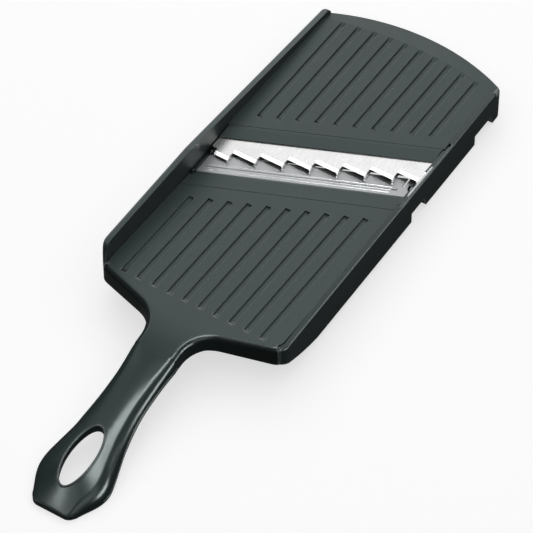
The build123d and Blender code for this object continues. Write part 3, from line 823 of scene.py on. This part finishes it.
@dataclass
class BladeInsert:
    """The insert that lifts out: carrier and clamp in plastic, blade, comb and plate in steel."""

    plastic_nodes: tuple[str, ...] = ("insert_carrier", "blade_clamp")
    blade_nodes: tuple[str, ...] = ("stick_blade", "slitter_comb")
    plate_node: str = "guide_plate"
    corner_reach: float = 20.0
    corner_rise: float = 3.0
    rib_shares: tuple[float, ...] = (0.32, 0.44, 0.56)
    rib_half_width: float = 0.36 * MM
    rib_height: float = 0.13 * MM
    rib_left_share: float = 0.03
    rib_right_share: float = 0.915
    rib_end_share: float = 0.02
    rib_end_least: float = 0.003
    rib_steps: int = 100
    rib_sides: int = 24
    clips: tuple[Clip, ...] = (
        Clip("right_clip", (0.0467, 0.07497, 0.01566), (0.0489, 0.07797, 0.01557), 3.25 * MM),
        Clip("left_far_clip", (-0.0486, 0.04124, 0.01856), (-0.0469, 0.04304, 0.01851), 2.6 * MM),
        Clip("left_near_clip", (-0.049, 0.02547, 0.0198), (-0.0479, 0.02746, 0.01975), 1.9 * MM),
    )
    clip_half: float = 0.45 * MM
    clip_flatness: float = 1.5
    clip_squareness: float = 4.0
    clip_steps: int = 25
    clip_sides: int = 20
    tab_near: Point = (49.8 * MM, 77.6 * MM, 20.76 * MM)
    tab_far: Point = (49.8 * MM, 86.4 * MM, 20.3 * MM)
    rail_near: Point = (50.7 * MM, 67.5 * MM, 21.3 * MM)
    rail_far: Point = (50.7 * MM, 91.5 * MM, 20.02 * MM)
    strip_half_width: float = 0.55 * MM
    strip_half_height: float = 0.16 * MM
    strip_squareness: float = 5.0
    strip_end_share: float = 0.06
    strip_end_swell: float = 0.6
    strip_steps: int = 30
    strip_sides: int = 24

    def plate_corner(self, across: float, along: float) -> np.ndarray:
        """Finds an upper corner of the guide plate.

        Args:
            across: one for the right end, minus one for the left.
            along: one for the far side, minus one for the near side.

        Returns:
            The point of the plate's solid that lies farthest that way and up.
        """
        points = node_points(self.plate_node)
        slant = points[:, 1] - points[:, 0] * np.tan(BLADE_SKEW)
        score = self.corner_reach * across * points[:, 0] + along * slant + self.corner_rise * points[:, 2]
        return points[np.argmax(score)]

    def plate_rib(self, name: str, rib_share: float, material: bpy.types.Material) -> None:
        """Makes one of the ribs pressed along the guide plate.

        A flat oval, sunk to its middle in the plate, is carried along a straight line at a fixed share
        of the plate's width and thins out to rounded ends. The plate's corners are read from its solid.

        Args:
            name: the piece's name.
            rib_share: share of the plate's width that lies before it.
            material: the rib's finish.
        """
        near_left, far_left = self.plate_corner(-1.0, -1.0), self.plate_corner(-1.0, 1.0)
        near_right, far_right = self.plate_corner(1.0, -1.0), self.plate_corner(1.0, 1.0)
        left = near_left + rib_share * (far_left - near_left)
        right = near_right + rib_share * (far_right - near_right)
        lift = unit(np.cross(right - left, far_left - near_left))
        side = np.cross(lift, unit(right - left))
        share = np.linspace(self.rib_left_share, self.rib_right_share, self.rib_steps)
        end = np.minimum(share - share[0], share[-1] - share) / self.rib_end_share
        roundness = 1.0 - (1.0 - np.clip(end, 0.0, 1.0)) ** 2
        Sweep(
            path=left + share[:, None] * (right - left),
            side=np.tile(side, (share.size, 1)),
            lift=np.tile(lift, (share.size, 1)),
            profile=superellipse(self.rib_half_width, self.rib_height, ELLIPSE, self.rib_sides),
            swell=np.sqrt(np.clip(roundness, self.rib_end_least, 1.0)),
        ).build(name, "blade_insert", Slot.STEEL, material)

    def clip_arch(self, clip: Clip, material: bpy.types.Material) -> None:
        """Makes a small clip that arches from one foot to the other.

        A squarish profile is carried along half an oval: at turn t it is the middle of the feet, less the
        cosine of t times half the way between them, plus the sine of t times the height, straight up.

        Args:
            clip: its name, feet and height.
            material: its finish.
        """
        turn = np.linspace(0.0, np.pi, self.clip_steps)
        first, last = np.array(clip.start), np.array(clip.end)
        half_way = (last - first) / 2.0
        rise = np.array([0.0, 0.0, clip.height])
        cosine, sine = np.cos(turn)[:, None], np.sin(turn)[:, None]
        side = np.tile(unit(np.cross(unit(half_way), [0.0, 0.0, 1.0])), (turn.size, 1))
        flat_half = self.clip_flatness * self.clip_half
        Sweep(
            path=(first + last) / 2.0 - cosine * half_way + sine * rise,
            side=side,
            lift=np.cross(side, unit(sine * half_way + cosine * rise)),
            profile=superellipse(flat_half, self.clip_half, self.clip_squareness, self.clip_sides),
            swell=np.ones_like(turn),
        ).build(clip.name, "blade_insert", Slot.HOUSING, material)

    def flat_strip(self, name: str, start: Point, stop: Point, material: bpy.types.Material) -> None:
        """Makes a flat strip of steel that lies on the right rail.

        A flat squarish profile is carried along a straight line and drawn in at both ends.

        Args:
            name: the piece's name.
            start: middle of its near end.
            stop: middle of its far end.
            material: its finish.
        """
        share = np.linspace(0.0, 1.0, self.strip_steps)
        near, far = np.array(start), np.array(stop)
        side = np.array([1.0, 0.0, 0.0])
        end = np.minimum(share, 1.0 - share) / self.strip_end_share
        least = self.strip_end_swell
        half_width, half_height = self.strip_half_width, self.strip_half_height
        Sweep(
            path=near + share[:, None] * (far - near),
            side=np.tile(side, (share.size, 1)),
            lift=np.tile(np.cross(side, unit(far - near)), (share.size, 1)),
            profile=superellipse(half_width, half_height, self.strip_squareness, self.strip_sides),
            swell=np.clip(least + (1.0 - least) * end, least, 1.0),
        ).build(name, "blade_insert", Slot.STEEL, material)

    def build(self) -> None:
        """Dresses the solids of the insert and adds its fine pieces."""
        plastic = bpy.data.materials[HOUSING.name]
        for node in self.plastic_nodes:
            dress(node, plastic)
        steel = BLADE_STEEL.material()
        for node in self.blade_nodes:
            dress(node, steel)
        plate = PLATE_STEEL.material()
        dress(self.plate_node, plate)
        for number, share in enumerate(self.rib_shares, 1):
            self.plate_rib(f"plate_rib_{number}", share, plate)
        self.flat_strip("blade_end_tab", self.tab_near, self.tab_far, steel)
        self.flat_strip("rail_strip", self.rail_near, self.rail_far, plate)
        for clip in self.clips:
            self.clip_arch(clip, plastic)


class Reach(Enum):
    """What a lamp adds to: shading and reflections, reflections alone, or shading alone."""

    BOTH = "both"
    GLOSS = "gloss"
    SHADE = "shade"


@dataclass(frozen=True)
class Lamp:
    """A soft rectangular lamp of a given brightness."""

    name: str
    place: Point
    target: Point
    width: float
    length: float
    brightness: float
    along: Point = (0.0, 1.0, 0.0)
    reach: Reach = Reach.GLOSS

    def build(self) -> None:
        """Hangs the lamp facing its target, with its length along the given direction."""
        data = bpy.data.lights.new(self.name, "AREA")
        data.shape = "RECTANGLE"
        data.size = self.length
        data.size_y = self.width
        data.energy = self.brightness * np.pi * self.width * self.length
        lamp = bpy.data.objects.new(self.name, data)
        back = (Vector(self.place) - Vector(self.target)).normalized()
        upper = back.cross(Vector(self.along)).normalized()
        turn = Matrix((upper.cross(back), upper, back)).transposed().to_4x4()
        lamp.matrix_world = Matrix.Translation(self.place) @ turn
        lamp.visible_diffuse = self.reach is not Reach.GLOSS
        lamp.visible_glossy = self.reach is not Reach.SHADE
        lamp.visible_camera = False
        bpy.context.scene.collection.objects.link(lamp)


@dataclass
class Studio:
    """Pale floor, plain surroundings, soft lamps and the camera."""

    floor_half: float = 3.0
    floor_drop: float = 0.0002
    floor_lines: int = 9
    floor_white: float = 0.64
    floor_pale: float = 0.5
    floor_bounce: float = 0.07
    floor_gloss: float = 0.03
    world_light: float = 0.04
    world_gloss: float = 0.13
    camera_place: Point = (0.60591, -0.89444, 1.31309)
    camera_look: Point = (-0.35241, 0.53007, -0.77126)
    camera_up: Point = (-0.40602, 0.65593, 0.63632)
    focal_pixels: float = 3460.34
    lamp_list: tuple[Lamp, ...] = (
        Lamp("overhead_softbox", (0.0, 0.0, 1.6), (0.0, 0.0, 0.0), 4.0, 4.0, 0.75, reach=Reach.SHADE),
        Lamp("under_softbox", (0.0, 0.0, -1.2), (0.0, 0.0, 0.0), 2.0, 2.0, 1.2, reach=Reach.SHADE),
        Lamp("bed_softbox", (-0.45, 0.85, 1.0), (-0.1, 0.2, 0.0), 1.4, 1.0, 0.85, reach=Reach.BOTH),
        Lamp("lip_softbox", (-0.75, 1.75, 0.85), (0.0, 0.15, 0.0), 0.8, 1.0, 3.2, (0.0, 0.0, 1.0)),
        Lamp("handle_strip", (0.16, -0.03, 1.0), (0.05, -0.15, 0.0), 0.3, 0.44, 12.0),
        Lamp("handle_softbox", (-0.88, 0.12, 1.0), (0.0, -0.1, 0.0), 0.5, 0.5, 0.6),
        Lamp("tip_right_strip", (1.6, 0.1, 0.22), (0.0, -0.1, 0.02), 0.9, 0.44, 15.0, (0.0, 0.0, 1.0)),
        Lamp("tip_left_strip", (-0.37, -0.6, 1.0), (0.0, -0.2, 0.0), 0.14, 0.4, 10.0),
        Lamp("tip_softbox", (-0.1, -0.62, 1.0), (0.0, -0.15, 0.0), 0.3, 0.4, 1.4),
        Lamp("bevel_softbox", (-0.37, -0.1, 1.0), (0.0, 0.05, 0.0), 0.46, 0.4, 1.3),
        Lamp("left_softbox", (-1.45, 1.1, 0.9), (0.0, 0.05, 0.0), 0.7, 0.9, 1.5),
        Lamp("rim_softbox", (1.05, 0.95, 1.0), (0.05, 0.05, 0.0), 0.9, 0.5, 6.0),
        Lamp("front_softbox", (1.0, -0.6, 1.0), (0.0, 0.0, 0.0), 1.0, 0.9, 1.3),
    )

    def floor_finish(self) -> bpy.types.Material:
        """Builds the floor's finish.

        Returns:
            The material: pale, near white to the camera with the object's shadow kept, and clear from
            below and to the lamp that lights the underside.
        """
        material = bpy.data.materials.new("pale_floor")
        material.use_nodes = True
        sheet = NodeSheet(material.node_tree)
        rays = sheet.add("ShaderNodeLightPath")
        seen = sheet.value(rays, "Is Camera Ray")
        tone = sheet.mixed_colour(seen, opaque(grey(self.floor_bounce)), opaque(grey(self.floor_pale)))
        matt = sheet.add("ShaderNodeBsdfDiffuse", None, {"Color": tone})
        glow = seen * self.floor_white + sheet.value(rays, "Is Glossy Ray") * self.floor_gloss
        glow_tone = sheet.mixed_colour(glow, opaque(BLACK), opaque(WHITE))
        shine = sheet.add("ShaderNodeEmission", None, {"Color": glow_tone, "Strength": 1.0})
        both = sheet.add("ShaderNodeAddShader", None, {0: matt.outputs[0], 1: shine.outputs[0]})
        behind = sheet.value(sheet.add("ShaderNodeNewGeometry"), "Backfacing")
        under = (behind + sheet.value(rays, "Is Shadow Ray")).clipped()
        clear = sheet.add("ShaderNodeBsdfTransparent")
        shown = sheet.add("ShaderNodeMixShader", None, {0: under, 1: both.outputs[0], 2: clear.outputs[0]})
        sheet.add("ShaderNodeOutputMaterial", None, {"Surface": shown.outputs[0]})
        return material

    def floor(self) -> None:
        """Lays the floor, a flat square grid just under the object."""
        line = np.linspace(-self.floor_half, self.floor_half, self.floor_lines)
        across, along = np.meshgrid(line, line, indexing="ij")
        level = np.full_like(across, -self.floor_drop)
        points = np.stack([across, along, level], axis=-1).reshape(-1, 3)
        index = np.arange(line.size**2).reshape(line.size, line.size)
        corners = [index[:-1, :-1], index[1:, :-1], index[1:, 1:], index[:-1, 1:]]
        faces = np.stack(corners, axis=-1).reshape(-1, 4)
        mesh = bpy.data.meshes.new("studio_floor")
        mesh.from_pydata(points.tolist(), [], faces.tolist())
        mesh.materials.append(self.floor_finish())
        floor = bpy.data.objects.new("studio_floor", mesh)
        bpy.context.scene.collection.objects.link(floor)

    def surroundings(self) -> None:
        """Sets the world: white to the camera, dim in reflections, and otherwise a little even light."""
        world = bpy.data.worlds.new("studio_world")
        bpy.context.scene.world = world
        world.use_nodes = True
        sheet = NodeSheet(world.node_tree)
        path = sheet.add("ShaderNodeLightPath")
        seen = sheet.value(path, "Is Camera Ray") + sheet.value(path, "Is Transmission Ray")
        mirrored = sheet.value(path, "Is Glossy Ray") * self.world_gloss
        level = seen.clipped() * (1.0 - self.world_light) + mirrored + self.world_light
        sky = sheet.add("ShaderNodeBackground", None, {"Color": opaque(WHITE), "Strength": level})
        sheet.add("ShaderNodeOutputWorld", None, {"Surface": sky.outputs[0]})

    def lamps(self) -> None:
        """Hangs the soft lamps."""
        for lamp in self.lamp_list:
            lamp.build()

    def camera(self) -> None:
        """Stands the camera where the photograph was taken from."""
        data = bpy.data.cameras.new("photo_camera")
        data.sensor_width = SENSOR_WIDTH
        data.lens = self.focal_pixels * SENSOR_WIDTH / PHOTO_WIDTH
        back = -Vector(self.camera_look).normalized()
        right = Vector(self.camera_up).cross(back).normalized()
        turn = Matrix((right, back.cross(right), back)).transposed().to_4x4()
        camera = bpy.data.objects.new("photo_camera", data)
        camera.matrix_world = Matrix.Translation(self.camera_place) @ turn
        bpy.context.scene.collection.objects.link(camera)
        bpy.context.scene.camera = camera

    def build(self) -> None:
        """Sets up the whole studio."""
        bpy.context.scene.view_settings.view_transform = "Standard"
        self.floor()
        self.surroundings()
        self.lamps()
        self.camera()


def main() -> None:
    """Builds the classes in order."""
    logging.basicConfig(level=logging.INFO, format="%(name)s: %(message)s")
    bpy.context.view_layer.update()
    Body().build()
    BladeInsert().build()
    Studio().build()


if __name__ == "__main__":
    main()
